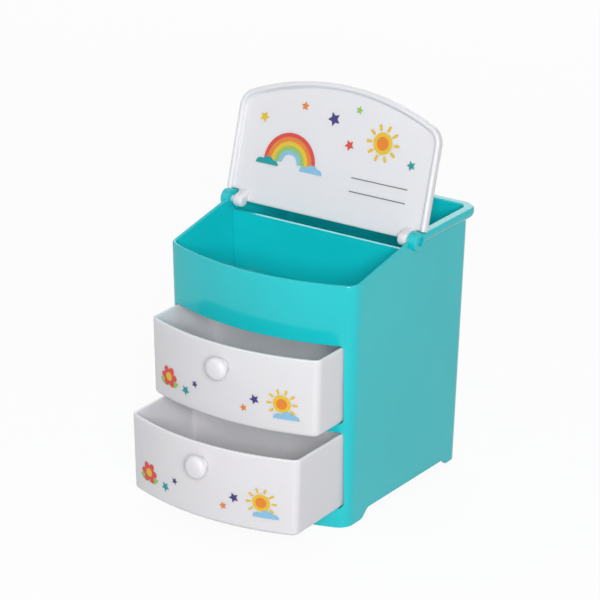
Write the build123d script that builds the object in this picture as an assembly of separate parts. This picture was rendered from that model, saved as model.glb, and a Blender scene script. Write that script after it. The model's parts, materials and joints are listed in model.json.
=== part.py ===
from build123d import *
import math
import os

# Desk organizer with a bowed front: two drawers, a front bin under a flip lid and an open pen bin behind.
# Millimetres, +Z up, the front faces -Y. The drawers stand partly open and the lid stands on its stop.

# Case, measured outside at the rim
case_width = 130.0
case_depth = 121.0
case_height = 161.5
front_drop = 12.8
bow_sag = 14.4
wall = 2.2
side_draft = 4.2
back_draft = 3.2
front_corner_radius = 9.2
back_corner_radius = 7.0
slope_start = 4.0
slope_rise = 11.0
slope_ease = 40.0
rim_round_share = 0.45

# Rolled lip round the pen bin
lip_out = 4.3
lip_flat = 0.5
lip_drop = 8.5
lip_round = 1.9
lip_root_share = 0.4
lip_lean = 30.0
lip_setback = 2.0

# Feet
foot_rise = 5.2
back_foot_rise = 3.6
front_foot_length = 11.5
back_foot_length = 13.0
foot_width = 20.0
foot_ramp = 10.0
back_foot_ramp = 3.0

# Drawers
drawer_height = 46.9
drawer_draft = 1.2
drawer_wall = 2.0
drawer_corner_radius = 4.8
drawer_edge_share = 0.54
drawer_back_gap = 4.5
lower_drawer_height = 12.1
rail_height = 4.7
upper_pull = 23.5
lower_pull = 43.9
slide_gap = 0.3
side_gap = 0.4
head_gap = 0.9
opening_corner_radius = 2.5

# Stop tabs on the side rims of the drawers
stop_inset = 8.0
stop_length = 5.0
stop_catch = 0.9
stop_side_gap = 0.3
stop_gap = 0.2

# Knobs
knob_radius = 7.0
knob_neck_radius = 4.6
knob_neck_length = 4.0
knob_head_length = 5.0
knob_edge = 1.6
knob_drop = 12.4
peg_radius = 2.5
peg_tail = 1.5
peg_gap = 0.05

# Plates inside the case
plate = 2.0
ledge_width = 1.8
ledge_height = 1.6
ledge_front_gap = 22.0
fit_gap = 0.15
guide_height = 6.0
guide_wall = 1.0
guide_end_gap = 6.0
partition_drop = 10.5
tab_width = 14.0
tab_spacing = 70.0

# Hinge and lid
hinge_from_front = 60.0
ear_radius = 5.5
ear_out = 3.5
ear_gap = 0.4
pin_radius = 2.3
pin_gap = 0.05
pin_recess = 3.0
lid_plate = 2.2
lid_rim = 3.0
lid_rim_wall = 3.0
lid_front_gap = 0.8
lid_cove_share = 0.5
lid_corner_radius = 11.5
lid_edge_share = 0.6
lid_lean = 16.5
lid_offset = 3.4
lid_edge = -0.5
lid_side_gap = 0.9
lid_rest_gap = 0.05
lid_close_gap = 0.3
barrel_radius = 4.0
barrel_length = 6.5
barrel_gap = 1.7
barrel_blend = 6.5
barrel_edge = 1.8

# Room that a cut runs past what it cuts
overrun = 5.0

# Places that follow from the sizes above
half_case = case_width / 2
bow_radius = (half_case**2 + bow_sag**2) / (2 * bow_sag)
bow_centre = bow_radius - bow_sag
front_height = case_height - front_drop
upper_drawer_height = lower_drawer_height + drawer_height + head_gap + rail_height + slide_gap
partition_front = hinge_from_front - plate / 2
ear_face = half_case + ear_out
lean = math.radians(lid_lean)
notch = ear_radius + ear_gap
lid_back = lid_offset + lid_plate
hinge_height = case_height + lid_rest_gap - notch * math.cos(lean) + lid_back * math.sin(lean)
partition_top = hinge_height - partition_drop + barrel_radius


def case_half(height):
    """Half the outer width of the case at a height."""
    return half_case - side_draft * (1 - height / case_height)


def case_back(height):
    """Outer face of the back wall at a height."""
    return case_depth - back_draft * (1 - height / case_height)


def bow_line(radius, across):
    """Where a bow of this radius runs, at a distance from the middle."""
    return bow_centre - math.sqrt(radius**2 - across**2)


opening_half = case_half(0) - wall
half_drawer = opening_half - side_gap
drawer_back = partition_front - drawer_back_gap
drawer_edge_radius = drawer_corner_radius * drawer_edge_share
base_top = lower_drawer_height - slide_gap
bin_floor_height = upper_drawer_height + drawer_height + head_gap + ledge_height
stop_front = drawer_back - stop_inset
stop_half = half_drawer - stop_side_gap
stop_rise = head_gap + stop_catch


def pillar_line(across, height):
    """Inner face of the front corner at a height, at a distance from the middle."""
    turn = front_corner_radius - wall
    middle = case_half(height) - front_corner_radius
    return bow_line(bow_radius - front_corner_radius, middle) - math.sqrt(turn**2 - (across - middle) ** 2)


def travel(drawer_bottom):
    """How far a drawer slides from shut until its stop tabs meet the front panel above the opening."""
    rim = drawer_bottom + drawer_height
    panel = max(pillar_line(stop_half, rim + rise) for rise in (head_gap, stop_rise))
    return stop_front - panel - stop_gap


# The lid's swing, from the open stop to its front edge lying over the front panel
closed_reach = hinge_from_front + bow_sag
closed_drop = hinge_height - front_height
front_distance = math.hypot(closed_reach, closed_drop)
rest_angle = math.asin((lid_offset - lid_close_gap) / front_distance)
closed_tilt = math.atan2(closed_drop, closed_reach) + rest_angle
lid_swing = 90 + lid_lean + math.degrees(closed_tilt)
lid_half = half_case + lip_out
lid_reach = front_distance * math.cos(rest_angle) + lid_front_gap + lid_rim_wall

# The floor under the middle of the whole object is the origin
front_most = -bow_sag - lower_pull - knob_neck_length - knob_head_length
back_most = case_depth + lip_out
to_origin = Pos(0, -(front_most + back_most) / 2, 0)


def plan(half, back, bow, front_round, back_round):
    """A plan with a bowed front, straight sides and back, and rounded corners."""
    corner = bow_line(bow, half)
    outline = [
        ThreePointArc((-half, corner), (0, bow_centre - bow), (half, corner)),
        Line((half, corner), (half, back)),
        Line((half, back), (-half, back)),
        Line((-half, back), (-half, corner)),
    ]
    face = make_face(outline)
    face = fillet(face.vertices().sort_by(Axis.Y)[:2], front_round)
    return fillet(face.vertices().sort_by(Axis.Y)[-2:], back_round)


def case_plan(inset, height):
    """Plan of the case at a height, drawn in by an inset."""
    face = plan(
        case_half(height) - inset,
        case_back(height) - inset,
        bow_radius - inset,
        front_corner_radius - inset,
        back_corner_radius - inset,
    )
    return Pos(0, 0, height) * face


def case_block(inset, bottom, top):
    """The space inside the case walls, or the case itself, between two heights."""
    return loft([case_plan(inset, bottom), case_plan(inset, top)], ruled=True)


def slice_across(front, back, bottom, top):
    """A plain block as wide as the case, between two depths and two heights."""
    block = Box(case_width, back - front, top - bottom)
    return Pos(0, (front + back) / 2, (bottom + top) / 2) * block


def round_bar(radius, start, end, y, z):
    """A round bar along X."""
    return Pos((start + end) / 2, y, z) * Rot(0, 90, 0) * Cylinder(radius, end - start)


def slope_cut():
    """What lies above the front panel and the two sloping side edges."""
    front = -bow_sag - overrun
    top = case_height + lip_out
    slope_top = front_height + slope_rise
    points = [
        (front, front_height),
        (slope_start, front_height),
        (hinge_from_front, slope_top),
        (hinge_from_front, top),
        (front, top),
    ]
    face = make_face(Polyline(*points, close=True))
    kink = face.vertices().sort_by_distance((slope_start, front_height))[0]
    return extrude(Plane.YZ * fillet(kink, slope_ease), amount=half_case + overrun, both=True)


def round_rim(shell):
    """Rounds both edges of the wall's rim all the way round."""
    edges = shell.edges().filter_by(Axis.Z, reverse=True)
    high = [edge for edge in edges if edge.bounding_box().min.Z > front_height - wall]
    long = [edge for edge in high if edge.length > 2 * wall]
    return fillet(long, wall * rim_round_share)


def end_arch(start, end):
    """Front view of the low arch between two feet."""
    outline = [
        Line((start, -overrun), (start, 0)),
        Spline((start, 0), (start + foot_ramp, foot_rise), tangents=[(1, 0), (1, 0)]),
        Line((start + foot_ramp, foot_rise), (end - foot_ramp, foot_rise)),
        Spline((end - foot_ramp, foot_rise), (end, 0), tangents=[(1, 0), (1, 0)]),
        Line((end, 0), (end, -overrun)),
        Line((end, -overrun), (start, -overrun)),
    ]
    return make_face(outline)


def side_arch():
    """Side view of the arch from a front foot, which rises gently, to a back foot, which starts steeply."""
    start = front_foot_length
    end = case_back(0) - back_foot_length
    flank = end - back_foot_ramp
    outline = [
        Line((start, -overrun), (start, 0)),
        Spline((start, 0), (start + foot_ramp, foot_rise), tangents=[(1, 0), (1, 0)]),
        Line((start + foot_ramp, foot_rise), (flank, back_foot_rise)),
        Line((flank, back_foot_rise), (end, 0)),
        Line((end, 0), (end, -overrun)),
        Line((end, -overrun), (start, -overrun)),
    ]
    return make_face(outline)


def feet_cut():
    """The arches under the sides, the front and the back."""
    half = case_half(0) - foot_width
    sides = extrude(Plane.YZ * side_arch(), amount=half_case + overrun, both=True)
    ends = extrude(Plane.XZ * end_arch(-half, half), amount=case_depth + overrun, both=True)
    return sides + ends


def drawer_opening(bottom):
    """The hole in the front panel that a drawer slides through, with lower corners that follow the drawer."""
    height = drawer_height + head_gap + slide_gap
    middle = bottom - slide_gap + height / 2
    shape = Rectangle(2 * opening_half, height)
    shape = fillet(shape.vertices().sort_by(Axis.Y)[:2], drawer_edge_radius + drawer_draft)
    shape = fillet(shape.vertices().sort_by(Axis.Y)[-2:], opening_corner_radius)
    back = pillar_line(opening_half, bottom) + overrun
    hole = extrude(Plane.XZ.offset(-back) * shape, amount=back + bow_sag + overrun)
    return Pos(0, 0, middle) * hole


def ledge(top, back):
    """A narrow step along the walls that a plate seats on, as far back as the plate goes."""
    bottom = top - ledge_height
    ring = case_block(wall / 2, bottom, top) - case_block(wall + ledge_width, bottom, top)
    return ring & slice_across(ledge_front_gap, back, bottom, top)


def lip():
    """The rolled lip round the pen bin, from one hinge ear to the other."""
    side = half_case
    ends = hinge_from_front + lip_setback
    back = case_depth
    turn = back_corner_radius
    path = Line((side, ends), (side, back - turn))
    path += RadiusArc((side, back - turn), (side - turn, back), -turn)
    path += Line((side - turn, back), (turn - side, back))
    path += RadiusArc((turn - side, back), (-side, back - turn), -turn)
    path += Line((-side, back - turn), (-side, ends))
    inner = -wall / 2
    root = inner * lip_root_share
    shelf = lip_out - lip_round
    end_turn = math.radians(lip_lean)
    end_way = (-math.sin(end_turn), -math.cos(end_turn))
    outline = [
        Line((inner, 0), (shelf, 0)),
        RadiusArc((shelf, 0), (lip_out, -lip_round), lip_round),
        Line((lip_out, -lip_round), (lip_out, -lip_round - lip_flat)),
        Spline((lip_out, -lip_round - lip_flat), (root, -lip_drop), tangents=[(0, -1), end_way]),
        Line((root, -lip_drop), (inner, -lip_drop)),
        Line((inner, -lip_drop), (inner, 0)),
    ]
    start = Plane(origin=(side, ends, 0), x_dir=(1, 0, 0), z_dir=(0, -1, 0))
    return Pos(0, 0, case_height) * sweep(start * make_face(outline), path=path)


def hinge_ear(side):
    """The round boss on one side wall that a hinge pin turns in."""
    inner = case_half(hinge_height) - wall
    start, end = sorted((side * inner, side * ear_face))
    ear = round_bar(ear_radius, start, end, hinge_from_front, hinge_height)
    outer = ear.edges().filter_by(GeomType.CIRCLE).sort_by(Axis.X)
    return fillet(outer[-1] if side > 0 else outer[0], wall * rim_round_share)


def case_shell():
    """The moulded case: tapered walls, lip, ears, drawer frame, ledges and feet."""
    shell = case_block(0, 0, case_height) - case_block(wall, -overrun, case_height + overrun)
    shell = round_rim(shell - slope_cut())
    for bottom in (lower_drawer_height, upper_drawer_height):
        shell -= drawer_opening(bottom)
    shell -= feet_cut()
    shell += lip()
    shell += ledge(base_top - plate, case_depth)
    for seat in (upper_drawer_height - slide_gap - plate, bin_floor_height):
        shell += ledge(seat, partition_front - fit_gap)
    for side in (-1, 1):
        shell += hinge_ear(side)
    reach = ear_face + overrun
    return shell - round_bar(pin_radius + pin_gap, -reach, reach, hinge_from_front, hinge_height)


def inside_plate(bottom):
    """A plate that fills the case between its walls, resting on its ledge."""
    return extrude(case_plan(wall + fit_gap, bottom), amount=plate)


def front_plate(bottom):
    """A plate that fills the case from its front wall to the partition."""
    front = -bow_sag
    return inside_plate(bottom) & slice_across(front, partition_front - fit_gap, bottom, bottom + plate)


def guides(drawer_bottom):
    """The two ribs on a plate that keep a drawer straight."""
    inner = half_drawer - drawer_draft * (1 - guide_height / drawer_height) + side_gap
    front = bow_line(bow_radius - wall, half_drawer) + guide_end_gap
    length = drawer_back - front
    rib = Box(guide_wall, length, guide_height + plate)
    height = drawer_bottom - slide_gap - plate + (guide_height + plate) / 2
    return [Pos(side * (inner + guide_wall / 2), front + length / 2, height) * rib for side in (-1, 1)]


def tabs(gap):
    """The two tabs under the partition, or their slots with a gap round them."""
    block = Box(tab_width + 2 * gap, plate + 2 * gap, plate)
    height = base_top - plate / 2
    return [Pos(side * tab_spacing / 2, hinge_from_front, height) * block for side in (-1, 1)]


def base_plate():
    """The floor under the lower drawer and the pen bin, with slots for the partition's tabs."""
    floor = inside_plate(base_top - plate)
    for rib in guides(lower_drawer_height):
        floor += rib
    for slot in tabs(fit_gap):
        floor -= slot
    return floor


def middle_shelf():
    """The plate that the upper drawer slides on."""
    shelf = front_plate(upper_drawer_height - slide_gap - plate)
    for rib in guides(upper_drawer_height):
        shelf += rib
    return shelf


def bin_partition():
    """The upright panel from the base plate to the hinge, with the pen bin behind it."""
    sides = [(case_half(z) - wall - fit_gap, z) for z in (base_top, partition_top)]
    (low, low_z), (high, high_z) = sides
    outline = Polyline((-low, low_z), (low, low_z), (high, high_z), (-high, high_z), close=True)
    panel = extrude(Plane.XZ * make_face(outline), amount=plate / 2, both=True)
    panel = Pos(0, hinge_from_front, 0) * panel
    for tab in tabs(0):
        panel += tab
    return panel


def drawer_plan(inset, height):
    """Plan of a drawer at a height above its underside, drawn in by an inset."""
    half = half_drawer - drawer_draft * (1 - height / drawer_height) - inset
    corner = drawer_corner_radius - inset
    face = plan(half, drawer_back - inset, bow_radius - inset, corner, corner)
    return Pos(0, 0, height) * face


def drawer(bottom, pull):
    """A drawer tub with stop tabs and a hole for its knob, pulled out by a distance."""
    body = loft([drawer_plan(0, 0), drawer_plan(0, drawer_height)], ruled=True)
    body = fillet(body.faces().sort_by(Axis.Z)[0].edges(), drawer_edge_radius)
    top = drawer_height + overrun
    hollow = loft([drawer_plan(drawer_wall, drawer_wall), drawer_plan(drawer_wall, top)], ruled=True)
    inner_round = (drawer_corner_radius - drawer_wall) * drawer_edge_share
    body -= fillet(hollow.faces().sort_by(Axis.Z)[0].edges(), inner_round)
    body = fillet(body.faces().sort_by(Axis.Z)[-1].edges(), drawer_wall * rim_round_share)
    tab_thickness = drawer_wall - 2 * stop_side_gap
    tab = Box(tab_thickness, stop_length, stop_rise + drawer_wall)
    for side in (-1, 1):
        x = side * (stop_half - tab_thickness / 2)
        body += Pos(x, stop_front + stop_length / 2, drawer_height + (stop_rise - drawer_wall) / 2) * tab
    bore = Cylinder(peg_radius + peg_gap, 2 * (drawer_wall + overrun))
    hole = Pos(0, -bow_sag, drawer_height - knob_drop) * Rot(90, 0, 0) * bore
    return Pos(0, -pull, bottom) * (body - hole)


def knob(drawer_bottom, pull):
    """A domed knob on a short neck, with the peg that presses into the drawer front."""
    tip = knob_neck_length + knob_head_length
    tail = -drawer_wall - peg_tail
    brow = knob_neck_length + knob_edge
    outline = [
        Line((0, tail), (peg_radius, tail)),
        Line((peg_radius, tail), (peg_radius, 0)),
        Line((peg_radius, 0), (knob_neck_radius, 0)),
        Line((knob_neck_radius, 0), (knob_neck_radius, knob_neck_length)),
        Line((knob_neck_radius, knob_neck_length), (knob_radius - knob_edge, knob_neck_length)),
        CenterArc((knob_radius - knob_edge, brow), knob_edge, -90, 90),
        Spline((knob_radius, brow), (0, tip), tangents=[(0, 1), (-1, 0)]),
        Line((0, tip), (0, tail)),
    ]
    turned = revolve(Plane.XZ * make_face(outline), axis=Axis.Z)
    place = Pos(0, -bow_sag - pull, drawer_bottom + drawer_height - knob_drop)
    return place * Rot(90, 0, 0) * turned


def lid_plan(inset, bottom):
    """Outline of the lid seen square on, from its hinge edge up to the bowed free edge."""
    half = lid_half - inset
    radius = bow_radius + lid_front_gap + lid_rim_wall - inset
    centre = lid_reach - inset - radius
    corner = centre + math.sqrt(radius**2 - half**2)
    outline = [
        ThreePointArc((-half, corner), (0, centre + radius), (half, corner)),
        Line((half, corner), (half, bottom)),
        Line((half, bottom), (-half, bottom)),
        Line((-half, bottom), (-half, corner)),
    ]
    face = make_face(outline)
    return fillet(face.vertices().sort_by(Axis.Y)[-2:], lid_corner_radius - inset)


def lid_barrel():
    """A hinge barrel that runs smoothly into the lid's inner face, lying along X at the hinge axis."""
    far = math.hypot(barrel_blend, lid_offset)
    touch = math.acos(barrel_radius / far) - math.atan2(lid_offset, barrel_blend)
    core = -lid_offset - lid_plate / 2
    points = [
        (0, 0),
        (barrel_radius * math.cos(touch), barrel_radius * math.sin(touch)),
        (barrel_blend, -lid_offset),
        (barrel_blend, core),
        (0, core),
    ]
    profile = Circle(barrel_radius) + make_face(Polyline(*points, close=True))
    barrel = extrude(Plane.YZ * profile, amount=barrel_length / 2, both=True)
    sides = barrel.faces().sort_by(Axis.X)
    edges = sides[0].edges() + sides[-1].edges()
    return fillet([edge for edge in edges if edge.center().Z > -lid_offset], barrel_edge)


def lid():
    """The flip lid with its rim, barrels and pins, standing open on its stop."""
    thick = lid_plate + lid_rim
    body = Pos(0, 0, -lid_back) * extrude(lid_plan(0, lid_edge), amount=thick)
    outer = body.faces().sort_by(Axis.Z)[0].edges().sort_by(Axis.Y)[1:]
    body = fillet(outer, lid_plate * lid_edge_share)
    pocket = extrude(lid_plan(lid_rim_wall, -overrun), amount=thick)
    cove = pocket.faces().sort_by(Axis.Z)[0].edges().sort_by(Axis.Y)[1:]
    body -= Pos(0, 0, -lid_offset) * fillet(cove, lid_rim * lid_cove_share)
    rim_edges = body.faces().sort_by(Axis.Z)[-1].edges().filter_by(Axis.X, reverse=True)
    body = fillet(rim_edges, lid_rim_wall * rim_round_share)
    inner = case_half(hinge_height) - wall
    panel_half = inner - lid_side_gap
    corner_width = lid_half - panel_half + overrun
    for side in (-1, 1):
        corner = Box(corner_width, 2 * notch, 2 * thick)
        body -= Pos(side * (panel_half + corner_width / 2), 0, -lid_offset) * corner
    hinge_edge = body.edges().filter_by(Axis.X).group_by(Axis.Y)[0]
    body = fillet(hinge_edge, lid_plate * rim_round_share)
    barrel_middle = inner - barrel_gap - barrel_length / 2
    pin_end = ear_face - pin_recess
    pin = Cylinder(pin_radius, pin_end - barrel_middle)
    for side in (-1, 1):
        body += Pos(side * barrel_middle, 0, 0) * lid_barrel()
        body += Pos(side * (pin_end + barrel_middle) / 2, 0, 0) * Rot(0, 90, 0) * pin
    place = Plane(
        origin=(0, hinge_from_front, hinge_height),
        x_dir=(1, 0, 0),
        z_dir=(0, -math.cos(lean), math.sin(lean)),
    )
    return place.location * body


pieces = {
    "case_shell": case_shell(),
    "base_plate": base_plate(),
    "middle_shelf": middle_shelf(),
    "bin_floor": front_plate(bin_floor_height),
    "bin_partition": bin_partition(),
    "lower_drawer": drawer(lower_drawer_height, lower_pull),
    "upper_drawer": drawer(upper_drawer_height, upper_pull),
    "lower_knob": knob(lower_drawer_height, lower_pull),
    "upper_knob": knob(upper_drawer_height, upper_pull),
    "lid": lid(),
}

os.makedirs("parts", exist_ok=True)
for name, shape in pieces.items():
    export_step(to_origin * shape, f"parts/{name}.step")

print("lid swing", round(lid_swing, 3), "degrees")
print("hinge axis", round(hinge_from_front + to_origin.position.Y, 4), round(hinge_height, 4))
for name, bottom in (("lower", lower_drawer_height), ("upper", upper_drawer_height)):
    print(name, "drawer travel", round(travel(bottom), 3))
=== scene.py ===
import json
import math

import bmesh
import bpy
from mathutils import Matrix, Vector
from mathutils.bvhtree import BVHTree
from mathutils.geometry import delaunay_2d_cdt


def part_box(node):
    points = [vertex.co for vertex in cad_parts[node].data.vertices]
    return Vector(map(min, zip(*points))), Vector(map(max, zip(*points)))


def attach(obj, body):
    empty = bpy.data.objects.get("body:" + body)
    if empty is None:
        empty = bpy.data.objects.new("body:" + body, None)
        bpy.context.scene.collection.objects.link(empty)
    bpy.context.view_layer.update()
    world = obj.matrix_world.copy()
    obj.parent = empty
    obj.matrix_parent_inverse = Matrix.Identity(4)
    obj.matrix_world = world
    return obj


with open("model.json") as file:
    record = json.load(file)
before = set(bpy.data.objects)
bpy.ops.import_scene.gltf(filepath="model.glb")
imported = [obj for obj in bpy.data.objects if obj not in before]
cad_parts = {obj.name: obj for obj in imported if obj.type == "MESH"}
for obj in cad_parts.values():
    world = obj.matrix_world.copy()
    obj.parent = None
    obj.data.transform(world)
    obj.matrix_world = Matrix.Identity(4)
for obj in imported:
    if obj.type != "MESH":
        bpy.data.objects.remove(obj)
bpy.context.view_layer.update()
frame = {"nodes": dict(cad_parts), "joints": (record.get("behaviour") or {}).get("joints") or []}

# Lengths are metres, in the frame of the solids. Print layouts are millimetres on the printed face.
MM = 0.001

# Camera, as the photograph was taken
camera_azimuth = math.radians(34.67)
camera_elevation = math.radians(21.75)
camera_distance = 1.6248
camera_target = Vector((0.0, 0.0310, 0.080))
camera_slide = -0.0120
camera_lift = 0.0249
camera_lens = 165.1
camera_sensor = 36.0
camera_reach = 20.0

# Colours, linear
turquoise = (0.008, 0.590, 0.632)
turquoise_deep = (0.005, 0.560, 0.605)
white = (0.815, 0.800, 0.832)
white_warm = (0.822, 0.804, 0.826)
inks = {
    "yellow": (0.860, 0.560, 0.035),
    "orange": (0.840, 0.250, 0.035),
    "coral": (0.760, 0.080, 0.065),
    "navy": (0.055, 0.050, 0.210),
    "teal": (0.010, 0.340, 0.360),
    "sky": (0.270, 0.560, 0.800),
    "leaf": (0.330, 0.580, 0.130),
    "grey": (0.070, 0.070, 0.080),
}

# Noise of every finish
noise_detail = 2.0

# Moulded plastic: gloss, light that soaks in, and the scales of its noises per metre
plastic_specular = 0.45
plastic_index = 1.49
turquoise_roughness = 0.12
white_roughness = 0.36
gloss_spread = 0.03
soak_share = 0.8
soak_depth = 0.003
soak_tint = (0.85, 0.96, 1.0)
drift_scale = 22.0
gloss_scale = 60.0
grain_scale = 2400.0
grain_strength = 0.10
grain_depth = 0.00004
wave_scale = 35.0
wave_strength = 0.06
wave_depth = 0.0006
drift_ends = (0.3, 0.7)

# Printed ink
ink_specular = 0.4
ink_roughness = 0.40
ink_gloss_spread = 0.06
ink_thin_share = 0.9
ink_speck_scale = 900.0
ink_speck_strength = 0.15
ink_speck_depth = 0.00003
ink_speck_ends = (0.25, 0.75)

# Print film
film_sink = 0.00004
film_rise = 0.00009
layer_rise = 0.00005
film_grid = 1.2
film_weld = 0.00001
film_cast = 0.05
inside_only = 1

# Forms of the prints: shares of the size of each form, counts, and steps along a curve
full_turn = 2 * math.pi
circle_steps = 36
round_end_steps = 8
star_points = 5
star_waist_share = 0.48
star_tip_per_mm = 0.2
flower_petals = 6
flower_dip_share = 0.36
flower_steps = 96
cloud_bump_shares = ((-0.27, 0.19), (0.04, 0.28), (0.30, 0.17))
cloud_steps = 48
leaf_belly_share = 0.22
leaf_steps = 12
rainbow_hollow_bands = 2
band_fill_share = 0.94
sun_core_share = 0.62
sun_rays = 10
ray_start_share = 1.28
ray_end_share = 1.62
ray_width_share = 0.26

# The lid leans back by this much when it stands open
lid_lean = math.radians(16.5)

# Prints: places and sizes on the lid from the middle of its hinge, and on a drawer from under its front
rainbow_place = (-30, 27)
rainbow_radius = 18
rainbow_colours = ("coral", "orange", "yellow", "leaf", "sky")
lid_clouds = (("teal", -45.5, 24.0), ("sky", -14.5, 24.0))
lid_cloud_width = 17
lid_sun_place = (31, 50)
lid_sun_radius = 6.4
lid_stars = (
    ("navy", -4, 58, 4.4),
    ("coral", 9, 45, 3.4),
    ("yellow", -52, 51, 3.4),
    ("teal", 52, 41, 3.0),
    ("leaf", 12, 66, 2.6),
    ("orange", -25, 62, 2.8),
)
line_ends = (14, 52)
line_rows = (27, 19)
line_width = 0.5
flower_place = (-42, 15.5)
flower_radius = 6.6
flower_heart = 2.5
leaf_drop = 5.5
leaf_length = 8.5
leaf_turns = (math.radians(20), math.radians(160))
drawer_stars = (
    ("teal", -28, 11.5, 3.2),
    ("navy", -20.5, 17.5, 2.3),
    ("orange", 14, 12, 2.4),
    ("navy", 21, 18.5, 3.2),
)
drawer_sun_place = (37.5, 18.5)
drawer_sun_radius = 5.2
drawer_cloud_place = (40, 9.5)
drawer_cloud_width = 16.5

# Studio
floor_half = 3.0
floor_drop = 0.0004
floor_colour = (0.55, 0.55, 0.55)
floor_roughness = 0.9
floor_specular = 0.1
floor_glow = 0.86
floor_shine = 1.075
ambient_light = (0.315, 0.325, 0.332)
lamp_aim = (0.0, 0.0, 0.1)
lamps = {
    "key": {"place": (1.15, -1.47, 0.83), "size": 0.6, "power": 28.0},
    "fill": {"place": (-1.2, -1.3, 1.4), "size": 1.4, "power": 2.5},
    "top": {"place": (0.1, -0.4, 1.9), "size": 1.4, "power": 0.5},
    "back": {"place": (-0.9, 1.7, 0.9), "size": 1.4, "power": 9.0},
}


def node(tree, kind, **values):
    """A shader node with its settings and its input values."""
    made = tree.nodes.new(kind)
    for name, value in values.items():
        if name in made.inputs:
            made.inputs[name].default_value = value
        else:
            setattr(made, name, value)
    return made


def object_place(tree):
    """The place on the object that a noise is laid by."""
    return node(tree, "ShaderNodeTexCoord").outputs["Object"]


def noise(tree, scale):
    """A noise fixed to the object."""
    made = node(tree, "ShaderNodeTexNoise", Scale=scale, Detail=noise_detail)
    tree.links.new(object_place(tree), made.inputs["Vector"])
    return made.outputs["Fac"]


def tinted(tree, value, ends, low, high):
    """Two colours, mixed by a noise between two of its levels."""
    ramp = node(tree, "ShaderNodeValToRGB")
    for element, place, colour in zip(ramp.color_ramp.elements, ends, (low, high)):
        element.position = place
        element.color = (*colour, 1)
    tree.links.new(value, ramp.inputs["Fac"])
    return ramp.outputs["Color"]


def spread(tree, value, middle, half):
    """A value that wanders round a middle by a noise."""
    wander = node(tree, "ShaderNodeMapRange")
    wander.inputs["To Min"].default_value = middle - half
    wander.inputs["To Max"].default_value = middle + half
    tree.links.new(value, wander.inputs["Value"])
    return wander.outputs["Result"]


def bump(tree, height, strength, depth, under=None):
    """A relief, laid over another one where that is given."""
    relief = node(tree, "ShaderNodeBump", Strength=strength, Distance=depth)
    tree.links.new(height, relief.inputs["Height"])
    if under:
        tree.links.new(under, relief.inputs["Normal"])
    return relief.outputs["Normal"]


def moulded_plastic(name, colour, second, roughness, soak):
    """Moulded plastic: slow colour drift, a fine grain in the gloss and a faint moulded texture."""
    material = bpy.data.materials.new(name)
    material.use_nodes = True
    tree = material.node_tree
    shader = tree.nodes["Principled BSDF"]
    shader.inputs["Specular IOR Level"].default_value = plastic_specular
    shader.inputs["IOR"].default_value = plastic_index
    shader.inputs["Subsurface Weight"].default_value = soak
    shader.inputs["Subsurface Radius"].default_value = soak_tint
    shader.inputs["Subsurface Scale"].default_value = soak_depth
    tint = tinted(tree, noise(tree, drift_scale), drift_ends, second, colour)
    tree.links.new(tint, shader.inputs["Base Color"])
    gloss = spread(tree, noise(tree, gloss_scale), roughness, gloss_spread)
    tree.links.new(gloss, shader.inputs["Roughness"])
    grain = bump(tree, noise(tree, grain_scale), grain_strength, grain_depth)
    relief = bump(tree, noise(tree, wave_scale), wave_strength, wave_depth, grain)
    tree.links.new(relief, shader.inputs["Normal"])
    return material


def printed_ink(name, colour):
    """Printed ink: a little uneven in depth, with a satin film."""
    material = bpy.data.materials.new(name)
    material.use_nodes = True
    tree = material.node_tree
    shader = tree.nodes["Principled BSDF"]
    shader.inputs["Specular IOR Level"].default_value = ink_specular
    speck = noise(tree, ink_speck_scale)
    thin = tuple(ink_thin_share * part for part in colour)
    tree.links.new(tinted(tree, speck, ink_speck_ends, thin, colour), shader.inputs["Base Color"])
    tree.links.new(spread(tree, speck, ink_roughness, ink_gloss_spread), shader.inputs["Roughness"])
    tree.links.new(bump(tree, speck, ink_speck_strength, ink_speck_depth), shader.inputs["Normal"])
    return material


def dress(names, material):
    """Gives CAD nodes their finish."""
    for name in names:
        slots = frame["nodes"][name].data.materials
        slots.clear()
        slots.append(material)


def circle_points(centre, radius, start=0.0, turn=full_turn, count=circle_steps):
    """Points along a circle, or a part of one."""
    steps = count if turn >= full_turn else count + 1
    angles = [start + turn * step / count for step in range(steps)]
    return [(centre[0] + radius * math.cos(a), centre[1] + radius * math.sin(a)) for a in angles]


def star(centre, radius):
    """A plump star, tipped by how far across it lies."""
    turn = star_tip_per_mm * centre[0]
    points = []
    for step in range(2 * star_points):
        reach = radius if step % 2 == 0 else radius * star_waist_share
        angle = math.pi / 2 + turn + math.pi * step / star_points
        points.append((centre[0] + reach * math.cos(angle), centre[1] + reach * math.sin(angle)))
    return points


def flower(centre, radius):
    """A round-petalled flower."""
    points = []
    for step in range(flower_steps):
        angle = full_turn * step / flower_steps
        petal = abs(math.cos(flower_petals * angle / 2))
        reach = radius * (1 - flower_dip_share + flower_dip_share * petal)
        points.append((centre[0] + reach * math.cos(angle), centre[1] + reach * math.sin(angle)))
    return points


def arch(centre, inner, outer):
    """A half ring, standing on its two ends."""
    return circle_points(centre, outer, 0.0, math.pi) + circle_points(centre, inner, math.pi, -math.pi)


def cloud(centre, width):
    """A flat-bottomed cloud of round bumps, each with a middle and a radius."""
    low = min(middle - radius for middle, radius in cloud_bump_shares)
    high = max(middle + radius for middle, radius in cloud_bump_shares)
    points = []
    for step in range(cloud_steps + 1):
        across = high + (low - high) * step / cloud_steps
        rises = [radius**2 - (across - middle) ** 2 for middle, radius in cloud_bump_shares]
        rise = math.sqrt(max(0, *rises))
        points.append((centre[0] + width * across, centre[1] + width * rise))
    return points


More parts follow.
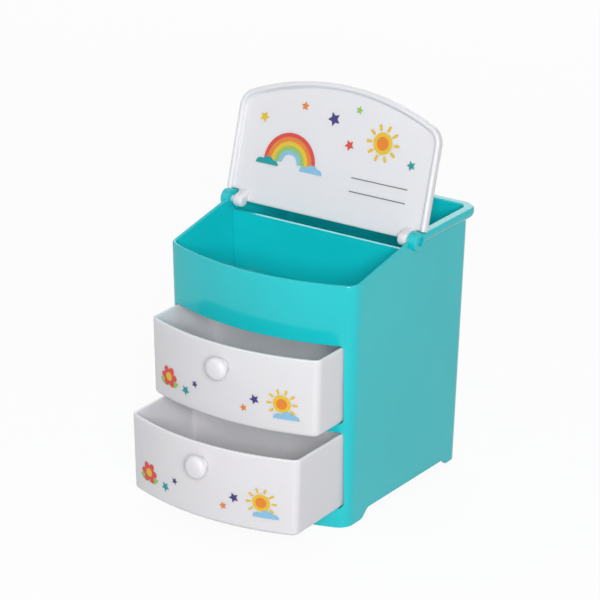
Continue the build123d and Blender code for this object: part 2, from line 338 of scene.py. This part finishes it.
def leaf(base, length, turn):
    """A pointed leaf that grows from its base."""
    side = [step / leaf_steps for step in range(leaf_steps + 1)]
    upper = [(length * s, length * leaf_belly_share * math.sin(math.pi * s)) for s in side]
    lower = [(x, -y) for x, y in reversed(upper[1:-1])]
    c, s = math.cos(turn), math.sin(turn)
    return [(base[0] + x * c - y * s, base[1] + x * s + y * c) for x, y in upper + lower]


def stroke(start, end, width):
    """A straight line with round ends."""
    (x0, y0), (x1, y1) = start, end
    along = math.atan2(y1 - y0, x1 - x0)
    head = circle_points(end, width / 2, along - math.pi / 2, math.pi, round_end_steps)
    tail = circle_points(start, width / 2, along + math.pi / 2, math.pi, round_end_steps)
    return head + tail


def rainbow(centre, radius, colours):
    """Half rings one inside the next."""
    band = radius / (len(colours) + rainbow_hollow_bands)
    shapes = []
    for step, colour in enumerate(colours):
        outer = radius - band * step
        shapes.append((colour, 0, arch(centre, outer - band * band_fill_share, outer)))
    return shapes


def sun(centre, radius, colour, core):
    """A disc with short rays round it."""
    shapes = [(colour, 0, circle_points(centre, radius))]
    shapes += [(core, 1, circle_points(centre, radius * sun_core_share))]
    starts = circle_points(centre, radius * ray_start_share, count=sun_rays)
    ends = circle_points(centre, radius * ray_end_share, count=sun_rays)
    for start, end in zip(starts, ends):
        shapes.append((colour, 0, stroke(start, end, radius * ray_width_share)))
    return shapes


def lid_layout():
    """Rainbow, clouds, sun and stars, with two plain ruled lines to write on."""
    shapes = rainbow(rainbow_place, rainbow_radius, rainbow_colours)
    shapes += [(colour, 1, cloud((x, y), lid_cloud_width)) for colour, x, y in lid_clouds]
    shapes += sun(lid_sun_place, lid_sun_radius, "yellow", "orange")
    shapes += [(colour, 0, star((x, y), radius)) for colour, x, y, radius in lid_stars]
    left, right = line_ends
    shapes += [("grey", 0, stroke((left, row), (right, row), line_width)) for row in line_rows]
    return shapes


def drawer_layout():
    """A flower and stars at one side, and a sun behind a cloud at the other."""
    x, y = flower_place
    shapes = [("leaf", 0, leaf((x, y - leaf_drop), leaf_length, turn)) for turn in leaf_turns]
    shapes += [("coral", 1, flower(flower_place, flower_radius))]
    shapes += [("yellow", 2, circle_points(flower_place, flower_heart))]
    shapes += [(colour, 0, star((x, y), radius)) for colour, x, y, radius in drawer_stars]
    shapes += sun(drawer_sun_place, drawer_sun_radius, "yellow", "orange")
    shapes += [("sky", 3, cloud(drawer_cloud_place, drawer_cloud_width))]
    return shapes


def small_triangles(points):
    """Splits a flat outline into triangles that are small enough to bend round a face."""
    outline = []
    for (x0, y0), (x1, y1) in zip(points, points[1:] + points[:1]):
        parts = max(1, math.ceil(math.hypot(x1 - x0, y1 - y0) / film_grid))
        for part in range(parts):
            outline.append(Vector((x0 + (x1 - x0) * part / parts, y0 + (y1 - y0) * part / parts)))
    columns = [math.floor(point.x / film_grid) for point in outline]
    rows = [math.floor(point.y / film_grid) for point in outline]
    grid = [Vector((column * film_grid, row * film_grid))
            for column in range(min(columns), max(columns) + 2) for row in range(min(rows), max(rows) + 2)]
    rim = [list(range(len(outline)))]
    split = delaunay_2d_cdt(outline + grid, [], rim, inside_only, film_weld)
    return split[0], split[2]


def add_shape(film, cast, points, layer, slot):
    """Adds one print shape to a film: its top, its underside and the sides between them."""
    flat, triangles = small_triangles(points)
    lower, upper, border = {}, {}, {}
    for triangle in triangles:
        for corner in triangle:
            if corner not in lower:
                spot, outward = cast(flat[corner])
                lower[corner] = film.verts.new(spot - outward * film_sink)
                upper[corner] = film.verts.new(spot + outward * (film_rise + layer * layer_rise))
        film.faces.new([upper[corner] for corner in triangle]).material_index = slot
        film.faces.new([lower[corner] for corner in reversed(triangle)]).material_index = slot
        for first, second in zip(triangle, triangle[1:] + triangle[:1]):
            if (second, first) in border:
                del border[second, first]
            else:
                border[first, second] = slot
    for first, second in border:
        film.faces.new((upper[second], upper[first], lower[first], lower[second])).material_index = slot


def print_on(carrier, shapes, origin, across, up, outward):
    """Lays flat print shapes as a thin film on the face of a CAD node that is a body of the same name."""
    tree = BVHTree.FromObject(frame["nodes"][carrier], bpy.context.evaluated_depsgraph_get())

    def cast(point):
        start = origin + across * (point.x * MM) + up * (point.y * MM) + outward * film_cast
        return tree.ray_cast(start, -outward)[0], outward

    film = bmesh.new()
    colours = sorted({colour for colour, layer, points in shapes})
    for colour, layer, points in shapes:
        add_shape(film, cast, points, layer, colours.index(colour))
    bmesh.ops.recalc_face_normals(film, faces=film.faces[:])
    name = f"{carrier}_print"
    mesh = bpy.data.meshes.new(name)
    film.to_mesh(mesh)
    film.free()
    for colour in colours:
        mesh.materials.append(ink_materials[colour])
    piece = bpy.data.objects.new(name, mesh)
    bpy.context.scene.collection.objects.link(piece)
    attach(piece, carrier)


def lamp(name, place, size, power):
    """A soft square lamp that shines on the object."""
    light = bpy.data.lights.new(name, "AREA")
    light.shape = "SQUARE"
    light.size = size
    light.energy = power
    made = bpy.data.objects.new(name, light)
    made.location = place
    made.rotation_euler = (Vector(lamp_aim) - Vector(place)).to_track_quat("-Z", "Y").to_euler()
    bpy.context.scene.collection.objects.link(made)


def seen_directly(tree):
    """One for what is seen straight on, mirrored or through glass, and zero for the light it gives."""
    rays = node(tree, "ShaderNodeLightPath")
    mirrored = node(tree, "ShaderNodeMath", operation="MAXIMUM")
    tree.links.new(rays.outputs["Is Glossy Ray"], mirrored.inputs[0])
    tree.links.new(rays.outputs["Is Transmission Ray"], mirrored.inputs[1])
    seen = node(tree, "ShaderNodeMath", operation="MAXIMUM")
    tree.links.new(rays.outputs["Is Camera Ray"], seen.inputs[0])
    tree.links.new(mirrored.outputs[0], seen.inputs[1])
    return seen.outputs[0]


def pale_floor():
    """A plain floor that shows almost white and keeps the object's shadow."""
    reach = (-floor_half, floor_half)
    corners = [(x, y, -floor_drop) for y in reach for x in reach]
    mesh = bpy.data.meshes.new("floor")
    mesh.from_pydata(corners, [], [(0, 1, 3, 2)])
    floor = bpy.data.objects.new("floor", mesh)
    bpy.context.scene.collection.objects.link(floor)
    material = bpy.data.materials.new("studio_floor")
    material.use_nodes = True
    tree = material.node_tree
    shader = tree.nodes["Principled BSDF"]
    shader.inputs["Base Color"].default_value = (*floor_colour, 1)
    shader.inputs["Roughness"].default_value = floor_roughness
    shader.inputs["Specular IOR Level"].default_value = floor_specular
    share = node(tree, "ShaderNodeMath", operation="MULTIPLY")
    share.inputs[1].default_value = floor_glow
    tree.links.new(seen_directly(tree), share.inputs[0])
    mix = node(tree, "ShaderNodeMixShader")
    tree.links.new(share.outputs[0], mix.inputs["Fac"])
    tree.links.new(shader.outputs[0], mix.inputs[1])
    glow = node(tree, "ShaderNodeEmission", Strength=floor_shine)
    tree.links.new(glow.outputs[0], mix.inputs[2])
    tree.links.new(mix.outputs[0], tree.nodes["Material Output"].inputs["Surface"])
    mesh.materials.append(material)


def studio():
    """Pale floor, even light from all round, and soft lamps."""
    pale_floor()
    world = bpy.data.worlds.new("studio")
    bpy.context.scene.world = world
    world.use_nodes = True
    tree = world.node_tree
    tint = node(tree, "ShaderNodeMixRGB", Color1=(*ambient_light, 1), Color2=(1, 1, 1, 1))
    tree.links.new(seen_directly(tree), tint.inputs["Fac"])
    tree.links.new(tint.outputs["Color"], tree.nodes["Background"].inputs["Color"])
    for name, settings in lamps.items():
        lamp(name, **settings)


def camera():
    """The photograph's viewpoint."""
    az, el = camera_azimuth, camera_elevation
    back = Vector((math.sin(az) * math.cos(el), -math.cos(az) * math.cos(el), math.sin(el)))
    right = Vector((math.cos(az), math.sin(az), 0))
    up = back.cross(right)
    data = bpy.data.cameras.new("camera")
    data.sensor_width = camera_sensor
    data.lens = camera_lens
    data.clip_end = camera_reach
    view = bpy.data.objects.new("camera", data)
    view.location = camera_target + back * camera_distance + right * camera_slide + up * camera_lift
    view.rotation_euler = back.to_track_quat("Z", "Y").to_euler()
    bpy.context.scene.collection.objects.link(view)
    bpy.context.scene.camera = view


turquoise_plastic = moulded_plastic("turquoise_plastic", turquoise, turquoise_deep, turquoise_roughness, 0)
white_plastic = moulded_plastic("white_plastic", white, white_warm, white_roughness, soak_share)
dress(("case_shell", "base_plate", "middle_shelf", "bin_floor", "bin_partition"), turquoise_plastic)
dress(("lower_drawer", "upper_drawer", "lower_knob", "upper_knob", "lid"), white_plastic)

ink_materials = {name: printed_ink(f"{name}_ink", colour) for name, colour in inks.items()}
X, Y, Z = Vector((1, 0, 0)), Vector((0, 1, 0)), Vector((0, 0, 1))
hinge = next(Vector(joint["pos_m"]) for joint in frame["joints"] if joint["name"] == "lid_hinge")
lid_up = Vector((0, math.sin(lid_lean), math.cos(lid_lean)))
lid_out = Vector((0, -math.cos(lid_lean), math.sin(lid_lean)))
print_on("lid", lid_layout(), hinge, X, lid_up, lid_out)
for drawer in ("upper_drawer", "lower_drawer"):
    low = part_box(drawer)[0]
    print_on(drawer, drawer_layout(), Vector((0, low.y, low.z)), X, Z, -Y)

studio()
camera()
bpy.context.scene.view_settings.view_transform = "Standard"
